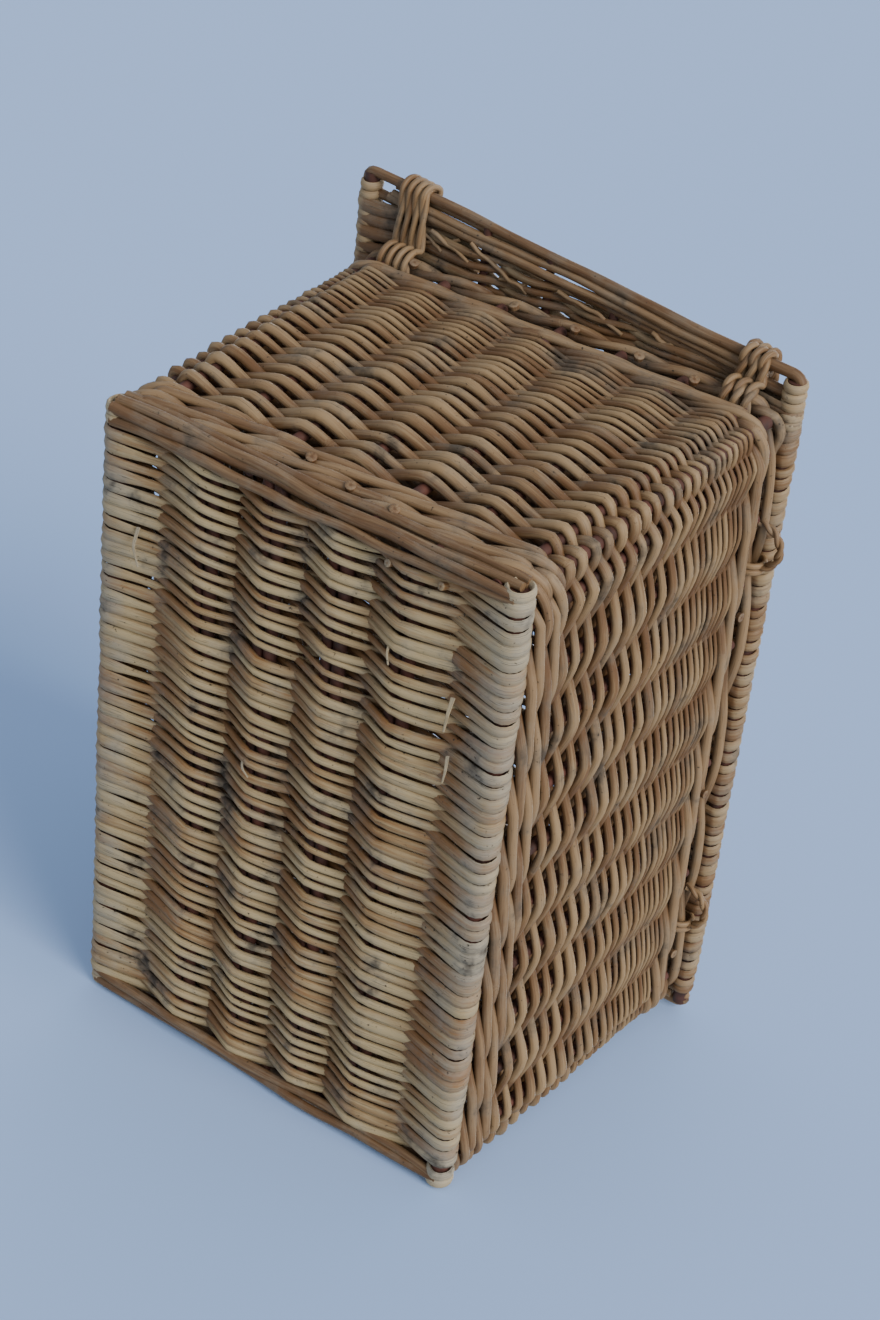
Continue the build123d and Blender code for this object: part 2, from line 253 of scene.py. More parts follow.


# %% [markdown]
# ## Willow
# Old buff willow is straw coloured where it is worn and light has bleached it, and grey where it
# has been wet. Where a rod dives between its neighbours it is orange-brown and darker. This is partly
# the wood's own colour there and partly painted shade for the shade that falls between the rods. The
# rods carry three numbers for this. Tone changes from rod to rod. A second number is 1 on the crest
# of a rod and 0 where it dives, so it paints both the bleaching and the shade. Wear is 1 on the
# edges that get knocked. One node group turns them into colour, roughness and height, and each
# finish gives it its own colours.

# %% Willow node group
def willow_group():
    """Streaks run along the rod because they read the rod's own UV: angle round it, metres along it."""
    group = bpy.data.node_groups.new("willow_surface", "ShaderNodeTree")
    sockets = group.interface
    for label in ("Straw", "Brown", "Grey", "Grime And Shade"):
        sockets.new_socket(name=label, in_out="INPUT", socket_type="NodeSocketColor")
    for label in ("Straw Share", "Grey Share", "Grime And Shade Share"):
        sockets.new_socket(name=label, in_out="INPUT", socket_type="NodeSocketFloat")
    sockets.new_socket(name="Color", in_out="OUTPUT", socket_type="NodeSocketColor")
    for label in ("Roughness", "Height"):
        sockets.new_socket(name=label, in_out="OUTPUT", socket_type="NodeSocketFloat")
    nodes, links = group.nodes, group.links
    entry, leave = nodes.new("NodeGroupInput"), nodes.new("NodeGroupOutput")

    def value_of(socket_or_number, target):
        if isinstance(socket_or_number, (int, float)):
            target.default_value = socket_or_number
        else:
            links.new(socket_or_number, target)

    def math(operation, first, second=0.0, third=0.0, clamp=False):
        node = nodes.new("ShaderNodeMath")
        node.operation, node.use_clamp = operation, clamp
        for number, source in enumerate((first, second, third)):
            value_of(source, node.inputs[number])
        return node.outputs[0]

    def vector(x, y, z):
        node = nodes.new("ShaderNodeCombineXYZ")
        for number, source in enumerate((x, y, z)):
            value_of(source, node.inputs[number])
        return node.outputs[0]

    def noise(where, detail=3.0, rough=0.55, scale=1.0):
        node = nodes.new("ShaderNodeTexNoise")
        node.inputs["Scale"].default_value = scale
        node.inputs["Detail"].default_value = detail
        node.inputs["Roughness"].default_value = rough
        links.new(where, node.inputs["Vector"])
        return node.outputs["Fac"]

    def attribute(label):
        node = nodes.new("ShaderNodeAttribute")
        node.attribute_name = label
        return node.outputs["Fac"]

    def span(source, low, high):
        node = nodes.new("ShaderNodeMapRange")
        node.interpolation_type = "SMOOTHSTEP"
        links.new(source, node.inputs["Value"])
        node.inputs["From Min"].default_value = low
        node.inputs["From Max"].default_value = high
        return node.outputs["Result"]

    def blend(share, first, second):
        node = nodes.new("ShaderNodeMix")
        node.data_type = "RGBA"
        links.new(share, node.inputs["Factor"])
        links.new(first, node.inputs["A"])
        links.new(second, node.inputs["B"])
        return node.outputs["Result"]

    place = nodes.new("ShaderNodeUVMap")
    place.uv_map = "rod"
    split = nodes.new("ShaderNodeSeparateXYZ")
    links.new(place.outputs[0], split.inputs[0])
    angle = math("MULTIPLY", split.outputs["X"], 2 * np.pi)
    across, aside, along = math("COSINE", angle), math("SINE", angle), split.outputs["Y"]
    tone, straw_and_shade, wear = attribute("tone"), attribute("straw_and_shade"), attribute("wear")
    shift = math("MULTIPLY", tone, 37.0)
    body = nodes.new("ShaderNodeTexCoord").outputs["Object"]

    streak = noise(vector(math("MULTIPLY", across, 1.6), math("MULTIPLY", aside, 1.6),
                          math("MULTIPLY_ADD", along, 26.0, shift)), detail=4.0, rough=0.6)
    fibre = noise(vector(math("MULTIPLY", across, 8.0), math("MULTIPLY", aside, 8.0),
                         math("MULTIPLY_ADD", along, 45.0, shift)), detail=3.0, rough=0.6)
    blotch = noise(body, detail=4.0, rough=0.62, scale=34.0)
    speck = noise(body, detail=2.0, rough=0.5, scale=420.0)

    # Straw against brown: random tone and streaks, plus the crest value. The crest value is part real
    # bleaching and part painted shade, and it makes the rod darker where it dives between its neighbours.
    lit = math("MULTIPLY_ADD", straw_and_shade, 1.05, math("MULTIPLY_ADD", streak, 1.5, -1.25))
    lit = math("ADD", lit, math("MULTIPLY_ADD", tone, 0.8, -0.4))
    lit = math("ADD", lit, math("MULTIPLY_ADD", fibre, 0.9, -0.45))
    lit = math("ADD", lit, entry.outputs["Straw Share"])
    base = blend(span(lit, 0.0, 1.1), entry.outputs["Brown"], entry.outputs["Straw"])
    grey = math("ADD", math("MULTIPLY", wear, 0.5), entry.outputs["Grey Share"])
    grey = math("ADD", grey, math("MULTIPLY_ADD", blotch, 2.6, -1.5))
    grey = math("ADD", grey, math("MULTIPLY_ADD", fibre, 1.2, -0.6), clamp=True)
    worn = blend(math("MULTIPLY", grey, 0.8), base, entry.outputs["Grey"])
    # The dark mix: real dirt from specks, blotches and fibres, plus painted shade where the rod dives (a low
    # crest value).
    grime_and_shade = math("ADD", math("MULTIPLY", math("SUBTRACT", 1.0, straw_and_shade), 0.3), span(speck, 0.66, 0.8))
    grime_and_shade = math("ADD", grime_and_shade, math("MULTIPLY", span(blotch, 0.56, 0.74), 0.8))
    grime_and_shade = math("ADD", grime_and_shade, math("MULTIPLY", span(fibre, 0.56, 0.7), 0.75))
    grime_and_shade = math("MULTIPLY", grime_and_shade, entry.outputs["Grime And Shade Share"], clamp=True)
    dirty = blend(grime_and_shade, worn, entry.outputs["Grime And Shade"])
    links.new(dirty, leave.inputs["Color"])
    rough = math("MULTIPLY_ADD", blotch, 0.3, math("MULTIPLY_ADD", fibre, 0.2, 0.30))
    links.new(rough, leave.inputs["Roughness"])
    links.new(math("MULTIPLY_ADD", fibre, 0.8, math("MULTIPLY", streak, 0.5)), leave.inputs["Height"])
    return group


WILLOW = willow_group()


# %% Willow finishes
# Dark colour for real dirt and for the painted shade where rods dive between their neighbours.
DIRT_AND_SHADE = (0.03, 0.02, 0.012)


def willow(name, straw, brown, grey, straw_share, grey_share, dirt_and_shade_share, bump=0.35):
    """A finish: the willow group with its own colours, a bump of its height, and a faint sheen of old sap."""
    material = bpy.data.materials.new(name)
    material.use_nodes = True
    nodes, links = material.node_tree.nodes, material.node_tree.links
    shader = nodes["Principled BSDF"]
    surface = nodes.new("ShaderNodeGroup")
    surface.node_tree = WILLOW
    for label, value in (("Straw", straw), ("Brown", brown), ("Grey", grey), ("Grime And Shade", DIRT_AND_SHADE)):
        surface.inputs[label].default_value = (*value, 1)
    surface.inputs["Straw Share"].default_value = straw_share
    surface.inputs["Grey Share"].default_value = grey_share
    # This share scales both real dirt and the painted shade where rods dive.
    surface.inputs["Grime And Shade Share"].default_value = dirt_and_shade_share
    relief = nodes.new("ShaderNodeBump")
    relief.inputs["Strength"].default_value = bump
    relief.inputs["Distance"].default_value = 0.0008
    links.new(surface.outputs["Color"], shader.inputs["Base Color"])
    links.new(surface.outputs["Roughness"], shader.inputs["Roughness"])
    links.new(surface.outputs["Height"], relief.inputs["Height"])
    links.new(relief.outputs["Normal"], shader.inputs["Normal"])
    shader.inputs["Specular IOR Level"].default_value = 0.35
    print("finish", name)
    return material


BASE_WILLOW = willow("base_willow", (0.51, 0.38, 0.20), (0.27, 0.125, 0.042), (0.36, 0.335, 0.285),
                     0.38, 0.25, 1.0, bump=0.55)
SIDING_WILLOW = willow("siding_willow", (0.345, 0.222, 0.11), (0.155, 0.073, 0.027), (0.305, 0.255, 0.185),
                       0.28, 0.16, 0.8)
ROD_WILLOW = willow("rod_willow", (0.32, 0.20, 0.10), (0.14, 0.066, 0.026), (0.28, 0.24, 0.18),
                    0.25, 0.22, 0.85)
LID_WILLOW = willow("lid_willow", (0.40, 0.28, 0.15), (0.19, 0.092, 0.035), (0.35, 0.31, 0.25),
                    0.38, 0.22, 0.8)
BINDING_WILLOW = willow("binding_willow", (0.33, 0.205, 0.10), (0.15, 0.07, 0.027), (0.29, 0.245, 0.18),
                        0.22, 0.22, 0.9)


# %% [markdown]
# ## The line of the walls
# A row of siding runs round the middle of the walls. Its places are counted in stakes, so that
# "in front of stake 4" is a whole number: position 0 is the first corner, then the right side, the
# next corner, the front end, and so on round to the hinge end. The same count gives a point on
# the foot outline and one on the rim outline, and a row is a straight mix of the two.

# %% Ring positions
END_PLACES = 0.84 * np.linspace(-1, 1, 7)
SIDE_PLACES = 0.87 * np.linspace(-1, 1, 10)
STAKES = 2 * (len(END_PLACES) + len(SIDE_PLACES)) + 4


def rounded_outline(half, arc_steps=9):
    """Closed rounded rectangle, anticlockwise from the corner at -X +Y, with its running length."""
    parts = []
    for number, (sign_x, sign_y) in enumerate(((-1, 1), (-1, -1), (1, -1), (1, 1))):
        angle = np.pi / 2 * (1 + number + np.linspace(0, 1, arc_steps))
        middle = np.array([sign_x, sign_y]) * (half - CORNER)
        parts.append(middle + CORNER * np.stack([np.cos(angle), np.sin(angle)], -1))
    points = np.concatenate(parts + [parts[0][:1]])
    length = np.concatenate([[0], np.cumsum(np.linalg.norm(np.diff(points, axis=0), axis=1))])
    return points, length


def stake_lengths(half):
    """Running length of each corner stake and wall stake, in the order of the outline."""
    quarter = np.pi * CORNER / 2
    flat_x, flat_y = half - CORNER
    outer = half + WALL_HALF
    corner = [quarter / 2]
    side = quarter + flat_y + SIDE_PLACES * outer[1]
    end = quarter + flat_x + END_PLACES * outer[0]
    first = np.concatenate([corner, side])
    second = np.concatenate([corner, end]) + quarter + 2 * flat_y
    both = np.concatenate([first, second])
    half_way = 2 * quarter + 2 * flat_x + 2 * flat_y
    return np.concatenate([both, both + half_way]), 2 * half_way


def outline_at(position, half):
    """Plan point at each stake position, by running length between stakes."""
    points, length = rounded_outline(half)
    stakes, total = stake_lengths(half)
    stakes = np.concatenate([stakes, [stakes[0] + total]])
    run = np.interp(np.mod(position, STAKES), np.arange(STAKES + 1), stakes)
    run = np.mod(run, total) * length[-1] / total
    return np.stack([np.interp(run, length, points[:, axis]) for axis in (0, 1)], -1)


def wall_line(position, height, outward=0.0):
    """Point on the walls' middle at a stake position and height, moved outwards square to the wall."""
    position, height, outward = np.broadcast_arrays(position, height, outward)
    foot = outline_at(position, FOOT_HALF - WALL_HALF)
    rim = outline_at(position, RIM_HALF - WALL_HALF)
    plan = foot + (rim - foot) * (height / RIM_Z)[..., None]
    step = 0.08
    half = FOOT_HALF - WALL_HALF
    run = outline_at(position + step, half) - outline_at(position - step, half)
    normal = unit(np.stack([run[..., 1], -run[..., 0]], -1))
    plan = plan + normal * outward[..., None]
    return np.concatenate([plan, height[..., None]], -1)


print("stakes round the walls:", STAKES)

# %% [markdown]
# ## Siding
# Each row passes in front of every other stake, and the next row does the opposite. The rows at
# the foot are thick butts set wide apart, with gaps between them, and the rows near the rim are
# thin tips pressed close. Where two rows cross between stakes they are squeezed flat.

# %% Siding rows
UPWARD = np.array([0.0, 0.0, 1.0])
CORNER_PLACES = np.array([0, 11, 19, 30])
STEPS_PER_STAKE = 8
PITCH_LEVELS = np.array([46, 100, 140, 172, 202, 226]) * MM
PITCHES = np.array([6.5, 6.1, 5.2, 4.0, 2.9, 2.6]) * MM
levels = np.linspace(SIDING_LOW - 2 * MM, SIDING_HIGH + 3 * MM, 400)
rows_below = np.concatenate([[0], np.cumsum(np.diff(levels) / np.interp(levels[1:], PITCH_LEVELS, PITCHES))])
ROW_LEVELS = np.interp(np.arange(0.5, rows_below[-1]), rows_below, levels)
print("rows of siding:", len(ROW_LEVELS))


def siding_rows(rows, seed):
    """Rows of the siding: each closes round the walls, in front of every other stake.

    The depth is the weave function of the stake count plus the row's number. The rod's height is
    half the pitch or a little less, and it is squeezed where two rows cross between stakes.
    """
    position = np.arange(STAKES * STEPS_PER_STAKE) / STEPS_PER_STAKE
    wave = weave(position[None, :] + rows[:, None], 1.15, 5.0)
    around = position * 0.04
    level = ROW_LEVELS[rows][:, None] + wander(around[None, :], ROW_LEVELS[rows][:, None], 1.0 * MM, 11)
    draw = np.random.default_rng(seed)
    near = np.round(position).astype(int) % STAKES
    lift = draw.normal(0, 0.34 * MM, (len(rows), STAKES))
    share = position - np.floor(position)
    first, second = np.floor(position).astype(int), (np.floor(position).astype(int) + 1) % STAKES
    pitch = np.interp(ROW_LEVELS[rows], PITCH_LEVELS, PITCHES)
    jitter = lift[:, first] * (1 - share) + lift[:, second] * share
    level = level + jitter * (pitch[:, None] / (5 * MM))
    hinge_side = np.clip(1 - np.abs(np.mod(position - 34 + 19, STAKES) - 19) / 5.5, 0, 1)
    thick = np.clip(0.59 * pitch, 1.7 * MM, 3.5 * MM) * draw.uniform(0.90, 1.06, len(rows))
    uneven = wander(around[None, :] * 1.7, rows[:, None] * 0.31, 1.0, 13)
    swell = (0.90 + 0.16 * hinge_side)[None, :] * (1 + 0.09 * uneven)
    half_up = thick[:, None] * swell * (0.98 + 0.06 * np.abs(wave))
    half_out = thick[:, None] * swell * 0.95
    outward = wave * (3.5 * MM + half_out * 0.95)
    to_corner = np.min(np.abs(np.mod(position[:, None] - CORNER_PLACES + 19, STAKES) - 19), axis=1)
    outward = np.where(outward < 0, outward * np.clip(to_corner * 1.6 - 0.15, 0, 1), outward)
    centre = wall_line(np.broadcast_to(position, level.shape), level, outward)
    marks = np.cumsum(draw.integers(5, 10, (len(rows), STAKES)), axis=1)
    shades = draw.uniform(0, 1, (len(rows), STAKES))
    tone = np.array([shade[np.searchsorted(mark, position + 0.5, side="right")]
                     for shade, mark in zip(shades, marks)])
    # Painted shade: each row is lighter where it passes in front of a stake and darker where it passes behind
    # one.
    return tubes(centre, UPWARD, half_up, half_out, closed=True, tone=tone, straw_and_shade=0.5 + 0.5 * wave, wear=0.1)


LOWER_ROWS = 18
finished("siding_lower_rows", [siding_rows(np.arange(0, LOWER_ROWS), 17)], SIDING_WILLOW, "basket",
         ["siding_left", "siding_right"])
finished("siding_upper_rows", [siding_rows(np.arange(LOWER_ROWS, len(ROW_LEVELS)), 19)], SIDING_WILLOW,
         "basket", ["siding_hinge_end", "siding_front_end"])


# %% [markdown]
# ## Ropes of willow: upsett, top wale and border
# A wale is three rods worked in turn, each in front of two stakes and behind one, so they lie like
# a rope. The number of stakes is not a multiple of three, so one closed path that goes round three
# times gives all three rods at once, each a third of a turn behind the last.

# %% Waling
def hinge_share(position):
    """1 along the hinge end and 0 elsewhere, with short ramps at its two corners."""
    return np.clip(4.6 - np.abs(np.mod(position - 34 + 19, STAKES) - 19), 0, 1)


def rope(level, rise, reach, thick, seed, strands=3, start=0.0, outward=0.0, narrow=1.0, calm=0.0):
    """A rope round the walls, as the path of one strand or more.

    Over one repeat, as many stakes as there are strands, the height climbs evenly from -rise to
    +rise while the strand is in front, and drops back while it is behind one stake. Three strands
    make one closed path that goes round three times, because 3 doesn't divide the stakes. With calm
    the repeats get longer away from the hinge end, and a whole number of them still closes the path.
    """
    steps = 8
    rounds = 1 if STAKES % strands == 0 else strands
    position = np.arange(rounds * STAKES * steps) / steps
    pace = 1 - calm * (1 - hinge_share(position))
    repeats = np.round(np.sum(pace) / steps / strands)
    phase = (np.cumsum(pace) - pace[0]) * repeats * strands / np.sum(pace)
    share = np.mod((phase + 0.5 + start) / strands, 1.0)
    front = 1 - 1 / strands
    depth = np.interp(share, [0, 0.25 / strands, front - 0.25 / strands, front, front + 0.3 / strands,
                              1 - 0.3 / strands, 1], [0, 0.92, 0.92, 0, -1, -1, 0])
    climb = np.interp(share, [0, front, 1], [-rise, rise, -rise])
    depth, climb = (np.mean([np.roll(values, shift) for shift in (-2, -1, 0, 1, 2)], axis=0)
                    for values in (depth, climb))
    squeeze = 1 + (narrow - 1) * hinge_share(position)
    around = np.mod(position, STAKES) * 0.04
    height = level + climb * squeeze + wander(around, position * 0.013, 0.35 * MM, seed)
    swell = 1 + 0.08 * wander(around * 1.3, position * 0.05, 1.0, seed + 1)
    centre = wall_line(position, height, outward + reach * depth * squeeze)[None]
    draw = np.random.default_rng(seed + 2)
    marks = np.cumsum(draw.integers(5, 8, rounds * STAKES))
    tone = draw.uniform(0, 1, len(marks) + 1)[np.searchsorted(marks, position, side="right")][None]
    # Painted shade: each strand is lighter in front of the stakes and darker where it passes behind one.
    return tubes(centre, UPWARD, thick * swell[None], thick * swell[None], closed=True, tone=tone,
                 straw_and_shade=(0.5 + 0.5 * depth)[None], wear=0.1)


upsett_ropes = [rope(level, 6.2 * MM, 5.2 * MM, 3.1 * MM, seed, start=start, outward=0.8 * MM)
                for level, seed, start in ((21.5 * MM, 51, 0.0), (35.0 * MM, 61, 1.0))]
finished("upsett_rods", upsett_ropes, ROD_WILLOW, "basket", ["upsett_wale"])
wale_level = (SIDING_HIGH + WALE_HIGH) / 2 + 1.0 * MM
finished("top_wale_rods", [rope(wale_level, 4.9 * MM, 5.0 * MM, 3.3 * MM, 71, narrow=0.70)],
         ROD_WILLOW, "basket", ["top_wale"])
border_level = RAIL.z - 0.6 * MM
border_ropes = [rope(border_level, 4.2 * MM, 4.3 * MM, 3.3 * MM, 81 + 3 * number, strands=2, start=number,
                     outward=0.5 * MM, narrow=0.76, calm=0.5) for number in (0, 1)]
finished("border_rods", border_ropes, ROD_WILLOW, "basket",
         ["border_left", "border_right", "border_front_end", "hinge_rail"])

# %% [markdown]
# ## Flat panels: base and lid
# A panel is one long strand that goes to and fro across the sticks. It passes over one stick and
# under the next, turns round the outer stick and comes back the other way about, so the turns
# stack up along both long edges as a column of flat loops. Where the panel isn't square, the rows fan out.

# %% Panel strand
def panel(stick_x, rows_y, middle_z, reach, thick, seed, wear_edges=1.0, lean=1.18, column_half=1.0,
          sway=1.5 * MM, lift=0.7 * MM, facing=-1.0, fan=None, shade=0.16, knee=7.0, thin=0.72):
    """One strand over all rows.

    Across a row the depth is the weave function of the stick count. At a row's end the path is half
    a circle round the outer stick, while the row's place moves on to the next row. On each stick the
    strand also slips a little to one side, drawn at random, and it slants as it passes in front.
    """
    rows, sticks = len(rows_y), len(stick_x)
    steps, turn_steps = 9, 6
    count = np.arange((sticks - 1) * steps + 1) / steps
    row = np.arange(rows)[:, None]
    place = np.where(row % 2 == 0, count[None, :], sticks - 1 - count[None, :])
    wave = weave(place + row, lean, knee)
    x = np.interp(place, np.arange(sticks), stick_x)
    z = middle_z + np.interp(place, np.arange(sticks), reach) * wave
    edge = np.where(row % 2 == 0, sticks - 1, 0)
    angle = np.pi * (np.arange(turn_steps) + 1) / (turn_steps + 1)
    side = np.where(row % 2 == 0, 1.0, -1.0)
    edge_reach = np.interp(edge, np.arange(sticks), reach)
    turn_x = np.interp(edge, np.arange(sticks), stick_x) + side * edge_reach * np.sin(angle) * 1.1
    turn_z = middle_z + edge_reach * weave(edge + row, lean, knee) * np.cos(angle)
    pitch = np.gradient(rows_y)[:, None]
    next_y = np.append(rows_y[1:], 2 * rows_y[-1] - rows_y[-2])[:, None]
    draw = np.random.default_rng(seed)
    slip = draw.normal(0, lift, (rows, sticks)) + draw.normal(0, lift * 0.5, (rows, 1))
    slip[:, [0, -1]] *= 0.4
    low = np.minimum(np.floor(place).astype(int), sticks - 2)
    mixed = place - low
    slipped = np.take_along_axis(slip, low, 1) * (1 - mixed) + np.take_along_axis(slip, low + 1, 1) * mixed
    from_edge = np.minimum(place, sticks - 1 - place)
    slant = sway * facing * np.sin(np.pi * (place + row)) * np.clip(from_edge, 0, 1)
    y = rows_y[:, None] + slipped + slant
    edge_slip = np.take_along_axis(slip, edge, 1)
    next_slip = np.take_along_axis(np.roll(slip, -1, axis=0), edge, 1)
    ease = (1 - np.cos(angle)) / 2
    turn_y = (rows_y[:, None] + edge_slip) * (1 - ease) + (next_y + next_slip) * ease
    x, y, z = (np.concatenate(pair, 1) for pair in ((x, turn_x), (y, turn_y), (z, turn_z)))
    y = y + wander(x, y, 0.9 * MM, seed + 6)
    if fan is not None:
        y = fan(x, y)
    z = z + wander(x, y * 2.5, 0.12 * MM, seed + 1)
    on_turn = np.ones((rows, turn_steps))
    column = np.concatenate([np.clip(1 - from_edge / 0.36, 0, 1), on_turn], 1)
    column = column * column * (3 - 2 * column)
    lean_in = np.concatenate([wave * facing, on_turn], 1)
    # Painted shade: each row is lighter on its crests and darker where it dives between sticks. The shade
    # shift moves this so that one arm of each crossing is darker, as if less light falls on it.
    shaded = np.concatenate([weave(place + row + shade, 1.0, 7.0) * facing, 0.45 * on_turn], 1)
    wide_span = np.concatenate([np.where(from_edge < 1, 1.32, 1.0), on_turn], 1)
    rod = thick * draw.uniform(thin, 1.14, (rows, 1)) * (1 + 0.08 * wander(x, y * 3, 1.0, seed + 3))
    flat = np.abs(pitch) * column_half * draw.uniform(0.72, 1.0, (rows, 1))
    if fan is not None:
        rod = rod * (0.7 + 0.3 * fan(x, y, growth=True))
        flat = flat * (0.4 + 0.6 * fan(x, y, growth=True))
    half_up = rod * (1.04 - 0.02 * np.abs(lean_in)) * wide_span * (1 - column) + flat * column
    half_out = rod * (0.92 - 0.24 * column)
    tone = draw.uniform(0, 1, (rows, 1)) * np.ones_like(x)
    centre = np.stack([x, y, z], -1).reshape(1, -1, 3)

    def flat_row(values):
        return np.broadcast_to(values, x.shape).reshape(1, -1)

    return tubes(centre, (0, 1, 0), flat_row(half_up), flat_row(half_out), tone=flat_row(tone),
                 straw_and_shade=flat_row(0.5 + 0.5 * shaded), wear=flat_row(column * wear_edges))


# %% Base weave
_, stick_box_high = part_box("base_outer_sticks")
outer_x = stick_box_high.x - 5.5 * MM
BASE_STICKS = np.array([-outer_x, -70 * MM, -24 * MM, 24 * MM, 70 * MM, outer_x])
base_mid = BASE_TOP / 2
ROW_PITCH = 4.15 * MM
BASE_FIELD = FOOT_HALF[1] - 14.5 * MM
rows = np.arange(-BASE_FIELD, BASE_FIELD, ROW_PITCH)
rows = rows + per_rod(len(rows), -0.5 * MM, 0.5 * MM, 5)
base_reach = np.array([7.3, 7.7, 7.7, 7.7, 7.7, 7.3]) * MM
base_parts = [panel(BASE_STICKS, rows, base_mid, base_reach, 2.65 * MM, 101, lean=1.06, knee=11.0,
                    sway=2.3 * MM, lift=0.95 * MM, thin=0.74, shade=0.24, column_half=1.14)]


ROD_TIP = 0.8


def straight_rod(start, end, thick, seed, bow=1.2 * MM, tone=None):
    """A long rod between two points, with a slight uneven bow and a taper from butt to tip."""
    share = np.linspace(0, 1, 40)
    line = np.array(start) + (np.array(end) - np.array(start)) * share[:, None]
    sway = np.stack([wander(share * 0.3, 0.1 * axis, bow, seed + axis) for axis in (0, 1, 2)], -1)
    line = line + sway * np.sin(np.pi * share)[:, None] ** 0.5
    rod = thick * (1 + (ROD_TIP - 1) * share) * (1 + 0.05 * wander(share * 0.4, 0.0, 1.0, seed + 7))
    value = np.random.default_rng(seed).uniform(0, 1) if tone is None else tone
    return tubes(line[None], (0, 1, 0), rod[None], rod[None], tone=value, straw_and_shade=0.85, wear=0.15)


EDGE_RODS = ((12.4, 8.2, 3.4, 0.25), (4.2, 6.4, 3.2, 0.05), (1.8, 2.4, 8.6, 0.35), (1.6, 1.6, 15.4, 0.2))
edge_parts = []
for end_sign in (1, -1):
    for number, (inside, inside_after, height, tone) in enumerate(EDGE_RODS):
        y, y_after = (end_sign * (FOOT_HALF[1] - depth * MM) for depth in (inside, inside_after))
        half = FOOT_HALF[0] - 9 * MM
        edge_parts.append(straight_rod((half, y, height * MM), (-half, y_after, height * MM), 3.4 * MM,
                                       200 + number + 20 * (end_sign > 0), bow=2.0 * MM, tone=tone))
        if number < 2:
            back = BASE_TOP - height * MM
            edge_parts.append(straight_rod((-half, y, back), (half, y_after, back), 3.2 * MM,
                                           240 + number + 20 * (end_sign > 0)))


def stick_wraps(axis_x, ys, middle_z, radius, thick, half_up, seed, wear=1.0):
    """Closed loops round a stick that runs along Y, one for each place in ys."""
    angle = 2 * np.pi * np.arange(16) / 16
    ys = np.asarray(ys)[:, None]
    axis_x = np.broadcast_to(np.asarray(axis_x, float), (len(ys),))[:, None]
    slant = 0.8 * MM * np.sin(angle)[None, :]
    level = middle_z + radius * np.sin(angle) + 0 * ys
    centre = np.stack([axis_x + radius * np.cos(angle), ys + slant, level], -1)
    tone = per_rod(len(ys), 0, 1, seed)[:, None]
    return tubes(centre, (0, 1, 0), half_up, thick, closed=True, tone=tone, straw_and_shade=1.0, wear=wear)


for end_sign in (1, -1):
    places = end_sign * (FOOT_HALF[1] - np.array([11.0, 5.0]) * MM)
    for side_sign in (1, -1):
        base_parts.append(stick_wraps(side_sign * outer_x, places, base_mid, 7.2 * MM, 1.7 * MM, 3.3 * MM,
                                      300 + 7 * side_sign + end_sign))
finished("base_weave_rods", base_parts, BASE_WILLOW, "basket", ["base_weave"])
finished("base_edge_rods", edge_parts, ROD_WILLOW, "basket", ["base_weave"])

# %% Lid weave
LID_EDGE_STICK = 156 * MM
LID_STICKS = np.array([-156, -72, -24, 24, 72, 156]) * MM
LID_REACH = np.array([5.9, 4.9, 4.9, 4.9, 4.9, 5.9]) * MM
HINGE_RIGHT, HINGE_LEFT = 249 * MM, lid_high.y
LID_HALF = 163 * MM


def lid_drift(y):
    """Sideways drift of the lid at y: its long edges lean over evenly towards the hinge edge."""
    return 6 * MM * (y - lid_low.y) / (HINGE_RIGHT - lid_low.y)


def drifted(part):
    """The lid's rods moved sideways with the drift of its long edges."""
    part["points"][:, 0] += lid_drift(part["points"][:, 1])
    return part


def hinge_edge(x):
    """The hinge edge of the lid at x: it runs out of square."""
    return HINGE_RIGHT + (HINGE_LEFT - HINGE_RIGHT) * (x + LID_HALF) / (2 * LID_HALF)


field_low, field_high = lid_low.y + 29 * MM, RAIL.y - 13.5 * MM
lid_rows = np.arange(field_low, field_high, ROW_PITCH)
lid_rows = lid_rows + per_rod(len(lid_rows), -0.5 * MM, 0.5 * MM, 15)
lid_parts = [drifted(panel(LID_STICKS, lid_rows, LID_MID, LID_REACH, 2.7 * MM, 401, wear_edges=0.15,
                           facing=1.0, lift=0.5 * MM, thin=0.86))]
band_inside = 21 * MM
FAN_ROWS = 9


def fan_factor(x):
    """How much wider the fan is at x than at its narrow end."""
    return (hinge_edge(x) - band_inside - field_high) / (HINGE_RIGHT - band_inside - field_high)


def fan_out(x, y, growth=False):
    """Rows between the field and the hinge band, shared out between two lines that aren't parallel.

    With growth it gives the widening at x instead, because a row's rods get thicker with it.
    """
    if growth:
        return fan_factor(x)
    return field_high + (y - field_high) * fan_factor(x)


fan_rows = field_high + (np.arange(FAN_ROWS) + 0.4) / FAN_ROWS * (HINGE_RIGHT - band_inside - field_high)
lid_parts.append(drifted(panel(LID_STICKS, fan_rows, LID_MID, LID_REACH, 2.2 * MM, 431, wear_edges=0.15,
                               facing=1.0, lift=0.3 * MM, column_half=1.6, fan=fan_out)))


def lid_wraps(side_sign, places, seed):
    """Wraps round one long edge of the lid."""
    return drifted(stick_wraps(side_sign * LID_EDGE_STICK, places, LID_MID, 6.1 * MM, 1.6 * MM, 2.9 * MM,
                               seed, wear=0.15))


left_wraps = np.arange(field_high + 3 * MM, HINGE_LEFT - 8 * MM, 6.0 * MM)
right_wraps = np.arange(field_high + 3 * MM, HINGE_RIGHT - 8 * MM, 6.0 * MM)
for side_sign, places in ((1, left_wraps), (-1, right_wraps)):
    lid_parts.append(lid_wraps(side_sign, places, 481 + side_sign))
finished("lid_weave_rods", lid_parts, LID_WILLOW, "lid", ["lid_weave"])


